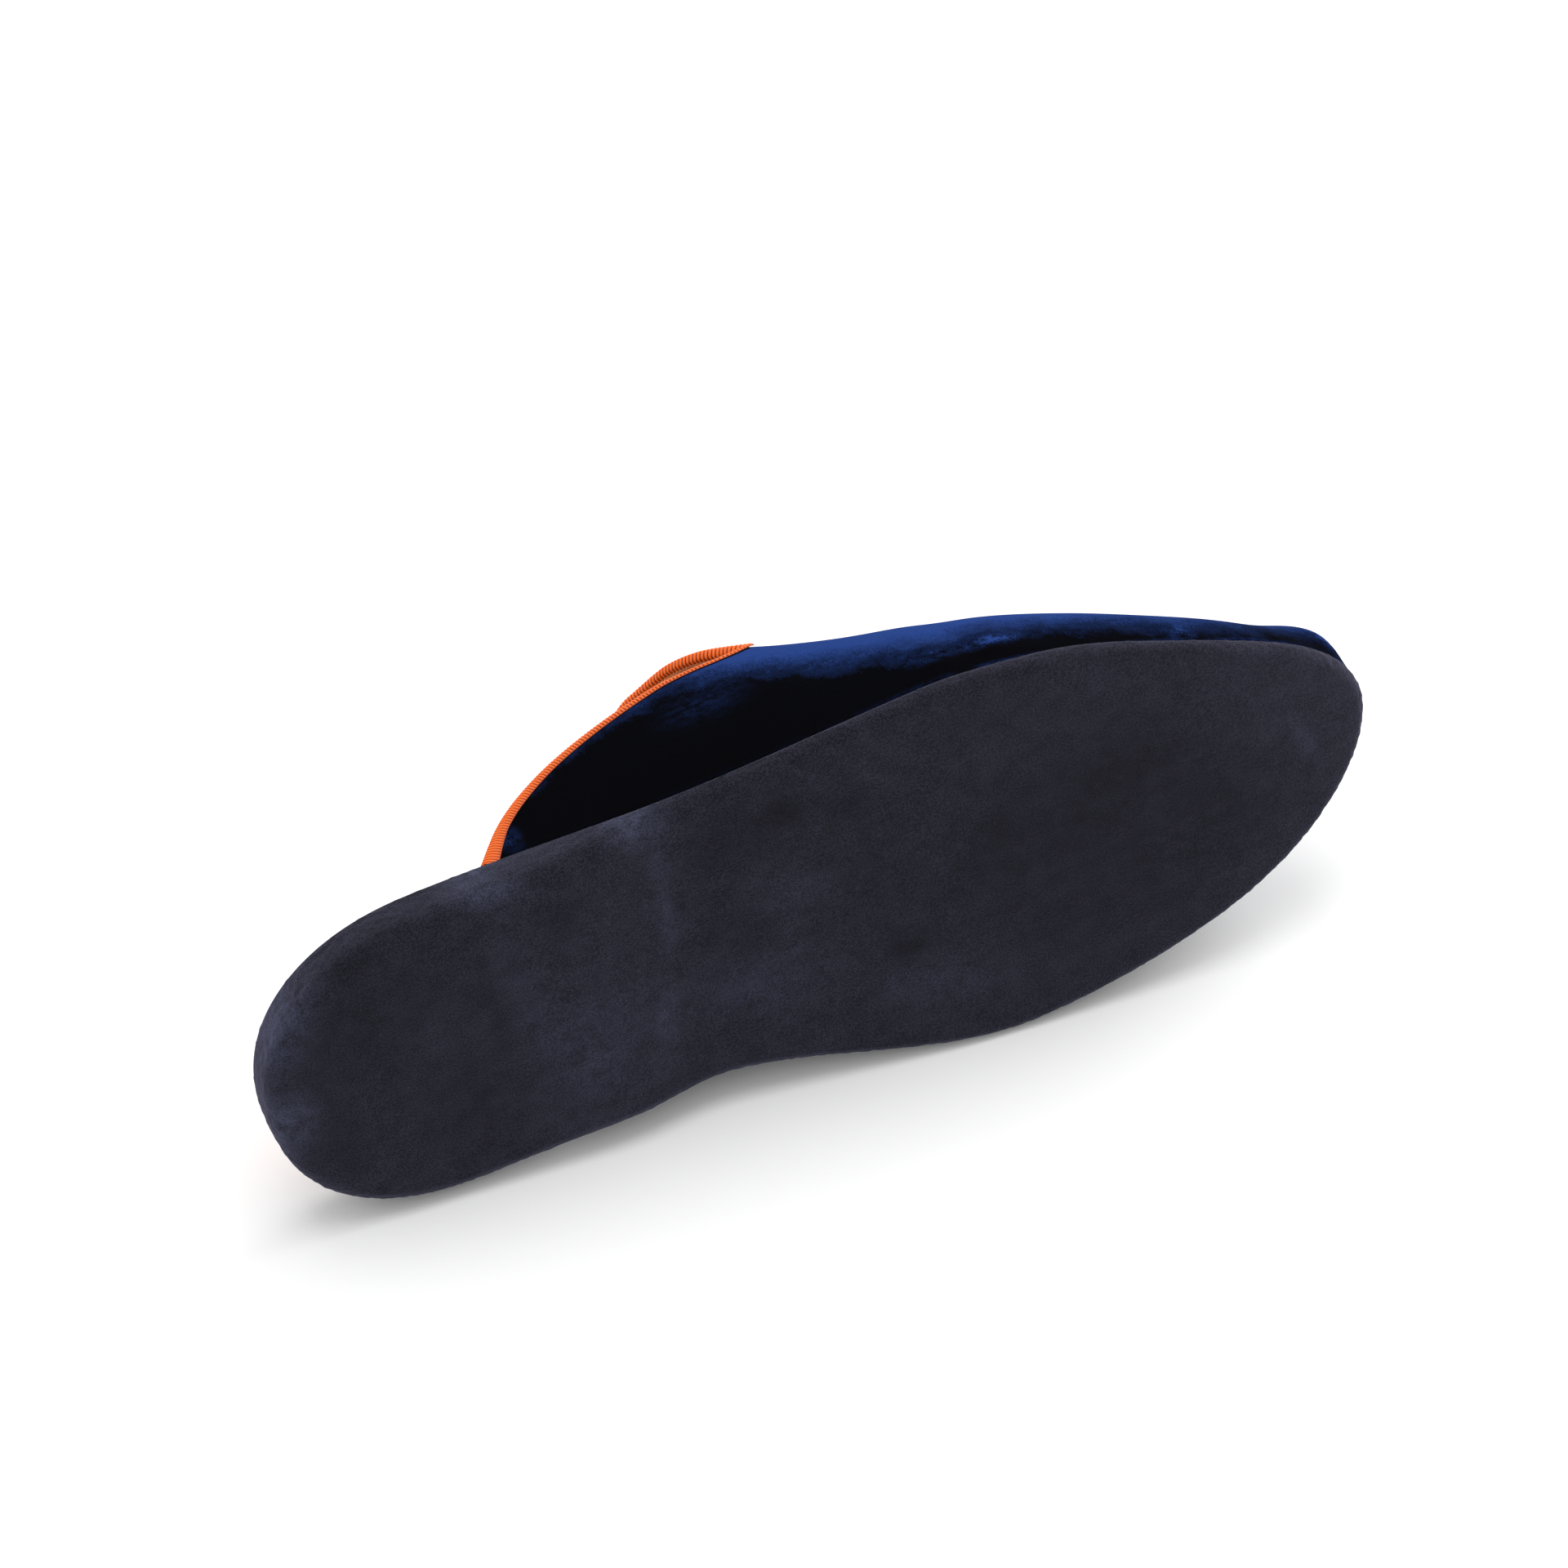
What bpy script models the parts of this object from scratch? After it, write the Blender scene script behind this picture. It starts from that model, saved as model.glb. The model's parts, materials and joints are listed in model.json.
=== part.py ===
"""Velvet babouche: an open-backed slipper, right foot, lying on its medial side.

Outsole, insole, upper and collar binding are modelled in the shoe's own frame, with the heel at
X = 0, the toe along +X, the medial side at +Y and the tread on Z = 0. An empty then lays the
shoe on the floor, so that the sole's edge and the upper's medial wall both touch it.
"""

from collections import namedtuple

import bpy
import numpy as np
from mathutils import Matrix

for leftover in list(bpy.data.objects):
    bpy.data.objects.remove(leftover, do_unlink=True)

MM = 0.001
GAP = 0.3 * MM

# Sole outline, worked out for each side from the heel, the waist, the ball and the toe tip
LENGTH = 269.4 * MM
TIP_SHIFT = 10.5 * MM
Side = namedtuple("Side", "sign heel_x heel_half waist_x waist_half ball_x ball_half heel_power"
                          " toe_power toe_blunt")
LATERAL = Side(-1, 45 * MM, 37.6 * MM, 94 * MM, 37.4 * MM, 173 * MM, 42.1 * MM, 2.12, 1.36, 1.86)
MEDIAL = Side(1, 45 * MM, 36.8 * MM, 94 * MM, 37.9 * MM, 174 * MM, 56 * MM, 2.35, 1.84, 1.94)

# Sole profile, seen from the side
HEEL_THICK = 11.8 * MM
FORE_THICK = 4.3 * MM
ARCH_RISE = 4.2 * MM
BREAST_X = 82 * MM
BREAST_RAMP = 18 * MM
BALL_X = 172 * MM
SPRING_START = 222 * MM
TOE_SPRING = 7.1 * MM
THIN_START = 0.25
ROUND_HEEL = 4.5 * MM
ROUND_FORE = 2.8 * MM
ROUND_TOP = 1.0 * MM

# Insole
SOCK_THICK = 2.2 * MM
SOCK_INSET_HEEL = 2.6 * MM
SOCK_INSET_VAMP = 4.8 * MM
SOCK_NARROW_START = 40 * MM
SOCK_NARROW_END = 60 * MM
SOCK_ROUND = 0.8 * MM

# Upper, by station: height of the ridge over the tread, its lean to the lateral side, how far the
# medial wall leans in for each unit of its height, and how full the flanks are below the ridge
WALL = 2.2 * MM
FEATHER_INSET = 0.6 * MM
TOE_ROUND = 0.028
RIDGE_FADE = 0.12
Section = namedtuple("Section", "station height lean tuck full")
SECTIONS = [
    Section(0.20, 97 * MM, 8 * MM, 0.24, 0.0),
    Section(0.34, 94.5 * MM, 11 * MM, 0.24, 0.0),
    Section(0.44, 88 * MM, 13 * MM, 0.20, 0.0),
    Section(0.54, 75.5 * MM, 13 * MM, 0.12, 0.0),
    Section(0.64, 60 * MM, 11 * MM, 0.04, 0.0),
    Section(0.74, 51 * MM, 9 * MM, 0.0, 0.0),
    Section(0.84, 40 * MM, 6.5 * MM, 0.0, 0.0),
    Section(0.92, 32.5 * MM, 4 * MM, 0.0, 0.2),
    Section(1.00, 31 * MM, 0 * MM, 0.0, 1.2),
]
LATERAL_TUCK = 0.06
Flank = namedtuple("Flank", "wall crown")
LATERAL_FLANK = Flank(0.58, 0.65)
MEDIAL_FLANK = Flank(0.76, 0.72)

# Collar: station of the edge by share of the girth, 0 at the sole and 1 at the ridge. The edge comes
# back as a rounded tongue, whose tip is a little past the ridge, because the ridge leans over; the
# last row makes the tip round
TONGUE_GIRTH = 1.08
CollarRow = namedtuple("CollarRow", "girth station")
COLLAR = [
    CollarRow(0.0, 0.238),
    CollarRow(0.1, 0.271),
    CollarRow(0.2, 0.318),
    CollarRow(0.4, 0.442),
    CollarRow(0.54, 0.520),
    CollarRow(0.66, 0.537),
    CollarRow(0.78, 0.493),
    CollarRow(0.9, 0.467),
    CollarRow(1.0, 0.448),
    CollarRow(TONGUE_GIRTH, 0.431),
    CollarRow(2 * TONGUE_GIRTH - 1.0, 0.448),
]
TAPE = 0.8 * MM
TAPE_GAP = 0.45 * MM
TAPE_WIDTH = 2.0 * MM
FOLD_SHOULDER = 0.8

# Lying on the medial side: slope of the floor against the sole, and how softly the wall flattens
FLOOR_SLOPE = 0.23
FLATTEN = 3 * MM

# Finish of each piece: colour and roughness
Finish = namedtuple("Finish", "colour roughness")
SUEDE = Finish((0.022, 0.023, 0.036), 0.95)
SOCK_LEATHER = Finish((0.42, 0.13, 0.035), 0.6)
VELVET = Finish((0.006, 0.009, 0.045), 0.8)
GROSGRAIN = Finish((0.86, 0.16, 0.035), 0.7)

# Facets: steps along the outline, round an edge, across a cap and over the upper
HEEL_STEPS = 12
SHANK_STEPS = 14
TOE_STEPS = 18
EDGE_STEPS = 4
CAP_COLUMNS = 6
ROWS = 24
COLUMNS = 48
TOE_CROWDING = 1.5
SMOOTH_BELOW = np.radians(40)
PROBE = 0.002


def ease(u):
    """Slow-in, slow-out step from 0 to 1."""
    u = np.clip(u, 0.0, 1.0)
    return u * u * (3 - 2 * u)


def round_end(u, power, blunt):
    """Rounded end of an outline: 1 at u = 0, falling square to 0 at u = 1; power sets how late it
    turns in, blunt how full it stays at the tip."""
    return (1 - np.clip(u, 0.0, 1.0) ** power) ** (1 / blunt)


def through(rows, column, at):
    """Smooth curve through one column of a table, without overshoot, read at the given places."""
    xs = np.array([row[0] for row in rows])
    ys = np.array([getattr(row, column) for row in rows])
    step = np.diff(xs)
    slope = np.diff(ys) / step
    tangent = np.zeros(len(ys))
    tangent[0] = slope[0]
    tangent[-1] = slope[-1]
    for k in range(1, len(ys) - 1):
        if slope[k - 1] * slope[k] > 0:
            tangent[k] = 2 * slope[k - 1] * slope[k] / (slope[k - 1] + slope[k])
    at = np.clip(at, xs[0], xs[-1])
    k = np.clip(np.searchsorted(xs, at) - 1, 0, len(step) - 1)
    u = (at - xs[k]) / step[k]
    rise = ys[k] + (ys[k + 1] - ys[k]) * ease(u)
    bend = tangent[k] * u * (1 - u) ** 2 - tangent[k + 1] * u ** 2 * (1 - u)
    return rise + step[k] * bend


# Sole form


def half_width(side, x):
    """Distance from the shoe's axis to the sole's edge."""
    tip = side.sign * TIP_SHIFT
    heel = side.heel_half * round_end((side.heel_x - x) / side.heel_x, side.heel_power, side.heel_power)
    shank = side.heel_half + (side.waist_half - side.heel_half) * ease(
        (x - side.heel_x) / (side.waist_x - side.heel_x))
    ball = side.waist_half + (side.ball_half - side.waist_half) * ease(
        (x - side.waist_x) / (side.ball_x - side.waist_x))
    toe = tip + (side.ball_half - tip) * round_end(
        (x - side.ball_x) / (LENGTH - side.ball_x), side.toe_power, side.toe_blunt)
    back = np.where(x < side.heel_x, heel, shank)
    front = np.where(x < side.ball_x, ball, toe)
    return np.where(x < side.waist_x, back, front)


def spring(x):
    """Rise of the toe off the ground."""
    return TOE_SPRING * np.clip((x - SPRING_START) / (LENGTH - SPRING_START), 0, 1) ** 2


def fore_share(x):
    """0 over the heel, 1 from the ball on."""
    return ease((x / BALL_X - THIN_START) / (1 - THIN_START))


def tread(x):
    """Underside of the sole: flat heel, soft breast, arch, flat ball and toe spring."""
    breast = ease((x - BREAST_X) / BREAST_RAMP)
    fall = 1 - ease((x - BREAST_X) / (BALL_X - BREAST_X))
    return ARCH_RISE * breast * fall + spring(x)


def feather(x):
    """Top of the sole, where the upper stands."""
    return HEEL_THICK + (FORE_THICK - HEEL_THICK) * fore_share(x) + spring(x)


def stations():
    """Places along the sole, closer together round the heel and the toe."""
    heel = LATERAL.heel_x * (1 - np.cos(np.linspace(0, np.pi / 2, HEEL_STEPS + 1)))
    shank = np.linspace(LATERAL.heel_x, LATERAL.ball_x, SHANK_STEPS + 1)
    toe = LATERAL.ball_x + (LENGTH - LATERAL.ball_x) * np.sin(np.linspace(0, np.pi / 2, TOE_STEPS + 1))
    return np.concatenate([heel, shank[1:], toe[1:]])


def outline():
    """Closed ring round the sole's edge: heel, lateral side, toe, medial side."""
    x = stations()
    lateral = np.stack([x, -half_width(LATERAL, x)], axis=1)
    medial = np.stack([x, half_width(MEDIAL, x)], axis=1)
    return np.concatenate([lateral, medial[-2:0:-1]])


def inset_outline(inset):
    """The outline moved inwards, square to the edge; inset may differ from point to point."""
    ring = outline()
    along = np.roll(ring, -1, axis=0) - np.roll(ring, 1, axis=0)
    along /= np.linalg.norm(along, axis=1, keepdims=True)
    inward = np.stack([-along[:, 1], along[:, 0]], axis=1)
    return ring + inward * np.broadcast_to(inset, len(ring))[:, None]


def level_ring(inset, height):
    """Ring of 3-D points: the inset outline, with its height worked out from X."""
    ring = inset_outline(inset)
    return np.column_stack([ring, height(ring[:, 0])])


# Upper form

TOEWARD = np.array([1.0, 0.0, 0.0])

def floor_line():
    """Slope and offset of the floor's trace on the sole: it touches the heel and the ball."""
    x = stations()
    corner_cut = ROUND_TOP * (1 + FLOOR_SLOPE - np.hypot(1, FLOOR_SLOPE))
    reach = half_width(MEDIAL, x) + FLOOR_SLOPE * feather(x) - corner_cut
    fore = x > MEDIAL.waist_x
    slope = 0.0
    for _ in range(6):
        rest = reach - slope * x
        heel = np.argmax(np.where(fore, -1, rest))
        ball = np.argmax(np.where(fore, rest, -1))
        slope = (reach[ball] - reach[heel]) / (x[ball] - x[heel])
    return slope, reach[heel] - slope * x[heel]


FLOOR_TURN, FLOOR_OFFSET = floor_line()


def flatten_on_floor(x, y, z):
    """Keeps the medial wall on the shoe's side of the floor, easing into it."""
    floor = FLOOR_OFFSET + FLOOR_TURN * x - FLOOR_SLOPE * z
    share = np.clip(0.5 + 0.5 * (floor - y) / FLATTEN, 0, 1)
    return floor + (y - floor) * share - FLATTEN * share * (1 - share)


def collar_station(girth):
    """Station of the collar's edge; girth runs from 0, lateral, over 1, the ridge, to 2, medial."""
    medial_girth = TONGUE_GIRTH * (2 - girth) / (2 - TONGUE_GIRTH)
    return through(COLLAR, "station", np.minimum(girth, medial_girth))


def skin(station, girth):
    """Point on the outside of the upper: a curve from the sole's edge to the ridge on each side."""
    x = station * LENGTH
    foot_z = feather(x) + GAP
    toe = np.clip((1 - station) / TOE_ROUND, 0, 1)
    rise = (through(SECTIONS, "height", station) - foot_z) * np.sqrt(toe * (2 - toe))
    lateral_half = half_width(LATERAL, x)
    medial_half = half_width(MEDIAL, x)
    fade = np.clip((1 - station) / RIDGE_FADE, 0, 1)
    ridge_y = (medial_half - lateral_half) / 2 - through(SECTIONS, "lean", station) * fade
    is_lateral = girth <= 1
    tuck = np.where(is_lateral, LATERAL_TUCK, through(SECTIONS, "tuck", station))
    wall = np.where(is_lateral, LATERAL_FLANK.wall, MEDIAL_FLANK.wall)
    crown = np.where(is_lateral, LATERAL_FLANK.crown, MEDIAL_FLANK.crown)
    inset = FEATHER_INSET * np.minimum(toe * 2, 1)
    foot_y = np.where(is_lateral, inset - lateral_half, medial_half - inset)
    up = np.where(is_lateral, girth, 2 - girth)
    wall_y = foot_y - np.sign(foot_y - ridge_y) * tuck * wall * rise
    crown = crown + (1 - crown) * through(SECTIONS, "full", station)
    crown_y = ridge_y + crown * (foot_y - ridge_y)
    low = (1 - up) ** 3
    mid_low = 3 * up * (1 - up) ** 2
    mid_high = 3 * up ** 2 * (1 - up)
    high = up ** 3
    y = low * foot_y + mid_low * wall_y + mid_high * crown_y + high * ridge_y
    z = foot_z + rise * (mid_low * wall + mid_high + high)
    y = np.where(is_lateral, y, flatten_on_floor(x, y, z))
    return np.stack(np.broadcast_arrays(x, y, z), axis=-1)


def skin_normal(station, girth):
    """Outward direction of the upper's surface; at the foot it lies level, so the foot stays flat."""
    back = np.maximum(station - PROBE, 0)
    front = np.minimum(station + PROBE, 1)
    low = np.maximum(girth - PROBE, 0)
    high = np.minimum(girth + PROBE, 2)
    along = skin(front, girth) - skin(back, girth)
    around = skin(station, high) - skin(station, low)
    normal = np.cross(along, around)
    at_foot = (girth <= 0) | (girth >= 2)
    normal[..., 2] = np.where(at_foot, 0, normal[..., 2])
    at_tip = (station >= 1)[..., None]
    normal = np.where(at_tip, TOEWARD, normal)
    return normal / np.linalg.norm(normal, axis=-1, keepdims=True)


def skin_offset(station, girth, offset):
    """Point at a distance from the upper's outside, positive outwards."""
    return skin(station, girth) + skin_normal(station, girth) * offset


# Solids


def make_solid(name, points, faces, finish):
    """One named object with its own material, in the shoe's frame."""
    mesh = bpy.data.meshes.new(name)
    mesh.from_pydata([tuple(point) for point in points], [], faces)
    mesh.validate()
    mesh.shade_smooth()
    mesh.set_sharp_from_angle(angle=SMOOTH_BELOW)
    material = bpy.data.materials.new(name)
    material.use_nodes = True
    shader = material.node_tree.nodes["Principled BSDF"]
    shader.inputs["Base Color"].default_value = (*finish.colour, 1)
    shader.inputs["Roughness"].default_value = finish.roughness
    mesh.materials.append(material)
    solid = bpy.data.objects.new(name, mesh)
    bpy.context.collection.objects.link(solid)
    return solid


def slab(rings):
    """Closed body through rings from its underside to its top, with a grid across each end."""
    count = len(rings[0])
    half = count // 2
    points = [point for ring in rings for point in ring]
    faces = []
    for level in range(len(rings) - 1):
        for k in range(count):
            low = level * count + k
            low_next = level * count + (k + 1) % count
            faces.append((low, low_next, low_next + count, low + count))
    for level, facing_up in ((0, False), (len(rings) - 1, True)):
        ring = rings[level]
        first = level * count
        rows = []
        for k in range(1, half):
            opposite = count - k
            row = [first + k]
            for column in range(1, CAP_COLUMNS):
                share = column / CAP_COLUMNS
                row.append(len(points))
                points.append(ring[k] + (ring[opposite] - ring[k]) * share)
            row.append(first + opposite)
            rows.append(row)
        heel_end = first
        toe_end = first + half
        cap = []
        for column in range(CAP_COLUMNS):
            cap.append((heel_end, rows[0][column], rows[0][column + 1]))
            cap.append((toe_end, rows[-1][column + 1], rows[-1][column]))
            for row, ahead in zip(rows, rows[1:]):
                cap.append((row[column], ahead[column], ahead[column + 1], row[column + 1]))
        faces += cap if facing_up else [face[::-1] for face in cap]
    return points, faces


def outsole():
    """Suede sole: rounded under the edge, square-sided, slightly rounded at the top."""
    rings = []
    x = outline()[:, 0]
    under = ROUND_HEEL + (ROUND_FORE - ROUND_HEEL) * fore_share(x)
    for turn in np.linspace(0, np.pi / 2, EDGE_STEPS + 1):
        lift = under * (1 - np.cos(turn))
        rings.append(level_ring(under * (1 - np.sin(turn)), lambda at, lift=lift: tread(at) + lift))
    for turn in np.linspace(0, np.pi / 2, EDGE_STEPS):
        drop = ROUND_TOP * (1 - np.sin(turn))
        inset = ROUND_TOP * (1 - np.cos(turn))
        rings.append(level_ring(inset, lambda at, drop=drop: feather(at) - drop))
    return make_solid("outsole", *slab(rings), SUEDE)


def insole():
    """Leather sock on the sole, drawn in where the upper stands round it."""
    x = outline()[:, 0]
    narrow = ease((x - SOCK_NARROW_START) / (SOCK_NARROW_END - SOCK_NARROW_START))
    inset = SOCK_INSET_HEEL + (SOCK_INSET_VAMP - SOCK_INSET_HEEL) * narrow
    rings = [level_ring(inset, lambda at: feather(at) + GAP)]
    for turn in np.linspace(0, np.pi / 2, EDGE_STEPS):
        height = GAP + SOCK_THICK - SOCK_ROUND * (1 - np.sin(turn))
        round_in = SOCK_ROUND * (1 - np.cos(turn))
        rings.append(level_ring(inset + round_in, lambda at, height=height: feather(at) + height))
    return make_solid("insole", *slab(rings), SOCK_LEATHER)


def upper():
    """Velvet vamp: a wall between its outside and an inside at the wall's thickness."""
    girth = np.linspace(0, 2, COLUMNS + 1)
    to_toe = (1 - np.linspace(0, 1, ROWS + 1)) ** TOE_CROWDING
    edge = collar_station(girth)
    station = 1 - (1 - edge)[None, :] * to_toe[:, None]
    girth = np.broadcast_to(girth, station.shape)
    outside = skin(station, girth)[:-1].reshape(-1, 3)
    inside = skin_offset(station, girth, -WALL)[:-1].reshape(-1, 3)
    tip = skin(np.array([1.0]), np.array([1.0]))
    inner_tip = skin_offset(np.array([1.0]), np.array([1.0]), -WALL)
    points = np.concatenate([outside, inside, tip, inner_tip])
    width = COLUMNS + 1
    shift = len(outside)
    tip_at = 2 * shift
    inner_tip_at = tip_at + 1
    last = (ROWS - 1) * width
    faces = []
    for j in range(COLUMNS):
        for i in range(ROWS - 1):
            a = i * width + j
            faces.append((a, a + width, a + width + 1, a + 1))
            faces.append((shift + a, shift + a + 1, shift + a + width + 1, shift + a + width))
        faces.append((last + j, tip_at, last + j + 1))
        faces.append((inner_tip_at, shift + last + j, shift + last + j + 1))
        faces.append((j, j + 1, shift + j + 1, shift + j))
    for i in range(ROWS - 1):
        a = i * width
        b = a + COLUMNS
        faces.append((a + width, a, shift + a, shift + a + width))
        faces.append((b, b + width, shift + b + width, shift + b))
    faces.append((tip_at, last, shift + last, inner_tip_at))
    faces.append((last + COLUMNS, tip_at, inner_tip_at, shift + last + COLUMNS))
    return make_solid("upper", points, faces, VELVET)


def collar_binding():
    """Grosgrain tape folded over the collar edge, from the upper's own surface."""
    girth = np.linspace(0, 2, COLUMNS + 1)
    station = collar_station(girth)
    edge = skin(station, girth)
    run = np.gradient(edge, axis=0)
    run /= np.linalg.norm(run, axis=1, keepdims=True)
    normal = skin_normal(station, girth)
    inward = np.cross(run, normal)
    inward /= np.linalg.norm(inward, axis=1, keepdims=True)
    low = np.maximum(girth - PROBE, 0)
    high = np.minimum(girth + PROBE, 2)
    by_station = (skin(station + PROBE, girth) - skin(station - PROBE, girth)) / (2 * PROBE)
    by_girth = (skin(station, high) - skin(station, low)) / (high - low)[:, None]
    moves = np.array([np.linalg.lstsq(np.column_stack(pair), inward[k], rcond=None)[0]
                      for k, pair in enumerate(zip(by_station, by_girth))])
    outer = TAPE_GAP + TAPE
    shoulder = FOLD_SHOULDER * outer
    profile = [
        (TAPE_WIDTH, outer), (0, outer), (-shoulder, 0), (-outer, -WALL / 2), (-shoulder, -WALL),
        (0, -WALL - outer), (TAPE_WIDTH, -WALL - outer), (TAPE_WIDTH, -WALL - TAPE_GAP),
        (0, -WALL - TAPE_GAP), (-TAPE_GAP, -WALL / 2), (0, TAPE_GAP), (TAPE_WIDTH, TAPE_GAP),
    ]
    loops = [skin_offset(station + moves[:, 0] * depth, np.clip(girth + moves[:, 1] * depth, 0, 2), offset)
             for depth, offset in profile]
    points = np.stack(loops, axis=1).reshape(-1, 3)
    sides = len(profile)
    faces = []
    for k in range(COLUMNS):
        for side in range(sides):
            ahead = (side + 1) % sides
            a = k * sides
            faces.append((a + sides + side, a + sides + ahead, a + ahead, a + side))
    first = list(range(sides))
    final = [COLUMNS * sides + side for side in range(sides)]
    faces.append(tuple(first))
    faces.append(tuple(reversed(final)))
    return make_solid("collar_binding", points, faces, GROSGRAIN)


# Assembly: the shoe laid on the floor, which is the plane that flattens the medial wall

pieces = [outsole(), insole(), upper(), collar_binding()]
down = np.array([-FLOOR_TURN, 1.0, FLOOR_SLOPE])
down /= np.linalg.norm(down)
forward = TOEWARD - down * down[0]
forward /= np.linalg.norm(forward)
turn = np.array([forward, np.cross(-down, forward), -down])
corners = [turn @ np.array(vertex.co) for piece in pieces for vertex in piece.data.vertices]
lowest = np.min(corners, axis=0)
highest = np.max(corners, axis=0)
shift = -np.array([(lowest[0] + highest[0]) / 2, (lowest[1] + highest[1]) / 2, lowest[2]])

slipper = bpy.data.objects.new("slipper", None)
bpy.context.collection.objects.link(slipper)
slipper.matrix_world = Matrix.Translation(shift) @ Matrix(turn).to_4x4()
for piece in pieces:
    piece.parent = slipper
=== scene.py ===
import json
import math

import bmesh
import bpy
import numpy as np
from mathutils import Matrix, Vector, kdtree, noise


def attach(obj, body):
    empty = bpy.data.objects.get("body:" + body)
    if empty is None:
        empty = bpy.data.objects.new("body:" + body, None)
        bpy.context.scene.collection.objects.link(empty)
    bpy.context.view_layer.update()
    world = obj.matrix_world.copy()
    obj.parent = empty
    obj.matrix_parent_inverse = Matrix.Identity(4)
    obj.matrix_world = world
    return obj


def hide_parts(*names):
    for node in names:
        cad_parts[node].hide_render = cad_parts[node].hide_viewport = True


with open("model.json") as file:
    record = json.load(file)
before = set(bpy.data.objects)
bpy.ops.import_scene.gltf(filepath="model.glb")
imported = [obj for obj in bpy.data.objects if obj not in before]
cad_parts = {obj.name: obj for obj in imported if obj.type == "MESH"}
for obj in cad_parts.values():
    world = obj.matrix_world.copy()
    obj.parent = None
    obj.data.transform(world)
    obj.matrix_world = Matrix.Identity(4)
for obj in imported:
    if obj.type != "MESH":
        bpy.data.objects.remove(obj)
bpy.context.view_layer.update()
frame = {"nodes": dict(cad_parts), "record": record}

# Outsole.
# One piece of navy suede, drawn over a low heel lift and a thin bottom and round their edge, so
# that no seam shows from below. The nap is short and brushed lighter in places, partly painted
# highlight at the heel's back and lateral rim; painted brownish shade darkens the medial rim.

# The shoe's own axes, from the tread mount: X from the heel's back to the toe, Y to the medial
# side, Z up from the tread, all in millimetres
MM = 0.001
HEEL_MARK = 43
tread_mount = next(mount for mount in frame["record"]["mounts"] if mount["name"] == "heel_tread")
sole_up = -Vector(tread_mount["axis"]).normalized()
toeward = Vector((-sole_up.z, 0, sole_up.x)).normalized()
medial = sole_up.cross(toeward)
shoe_turn = Matrix((toeward, medial, sole_up))
heel_back = Vector(tread_mount["pos_m"]) - toeward * HEEL_MARK * MM


def to_world(points):
    """Places in the shoe's own axes as places in the frame, in metres."""
    return points * MM @ np.array(shoe_turn) + np.array(heel_back)


def shoe_points(piece):
    """A piece's vertices in the shoe's own axes, in millimetres."""
    flat = np.empty(len(piece.data.vertices) * 3)
    piece.data.vertices.foreach_get("co", flat)
    return (flat.reshape(-1, 3) - np.array(heel_back)) @ np.array(shoe_turn).T / MM


def shoe_normals(piece):
    """A piece's vertex directions in the shoe's own axes."""
    flat = np.empty(len(piece.data.vertices) * 3)
    piece.data.vertex_normals.foreach_get("vector", flat)
    return flat.reshape(-1, 3) @ np.array(shoe_turn).T


def put_shoe_points(piece, points):
    """Moves a piece's vertices to places in the shoe's own axes."""
    piece.data.vertices.foreach_set("co", to_world(points).ravel())
    piece.data.update()


def put_attribute(piece, name, values):
    """Keeps a number for each vertex, for the piece's material."""
    numbers = piece.data.attributes.new(name, "FLOAT", "POINT")
    numbers.data.foreach_set("value", np.asarray(values, np.float32))


def waves(points, span):
    """Smooth uneven heights between about -1 and 1, a span apart."""
    return np.array([noise.noise(Vector(point) / span) for point in points])


WELD = 0.002 * MM
QUAD_BEND, QUAD_SKEW, SHARP = math.radians(60), math.radians(80), math.radians(50)
SHARP_CREASE = 0.9


def copy_of(node, name, levels):
    """A welded copy of a CAD node with its triangles joined to quads and its form made smooth."""
    bpy.ops.object.select_all(action="DESELECT")
    piece = bpy.data.objects.new(name, frame["nodes"][node].data.copy())
    bpy.context.collection.objects.link(piece)
    piece.data.materials.clear()
    piece.select_set(True)
    bpy.context.view_layer.objects.active = piece
    bpy.ops.mesh.customdata_custom_splitnormals_clear()
    bpy.ops.object.mode_set(mode="EDIT")
    bpy.ops.mesh.select_all(action="SELECT")
    bpy.ops.mesh.remove_doubles(threshold=WELD)
    bpy.ops.mesh.tris_convert_to_quads(face_threshold=QUAD_BEND, shape_threshold=QUAD_SKEW)
    bpy.ops.mesh.select_mode(type="EDGE")
    bpy.ops.mesh.select_all(action="DESELECT")
    bpy.ops.mesh.edges_select_sharp(sharpness=SHARP)
    bpy.ops.transform.edge_crease(value=SHARP_CREASE)
    bpy.ops.object.mode_set(mode="OBJECT")
    rounding = piece.modifiers.new("rounding", "SUBSURF")
    rounding.levels = levels
    rounding.render_levels = levels
    bpy.ops.object.modifier_apply(modifier=rounding.name)
    bpy.ops.object.shade_smooth()
    return piece


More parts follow.
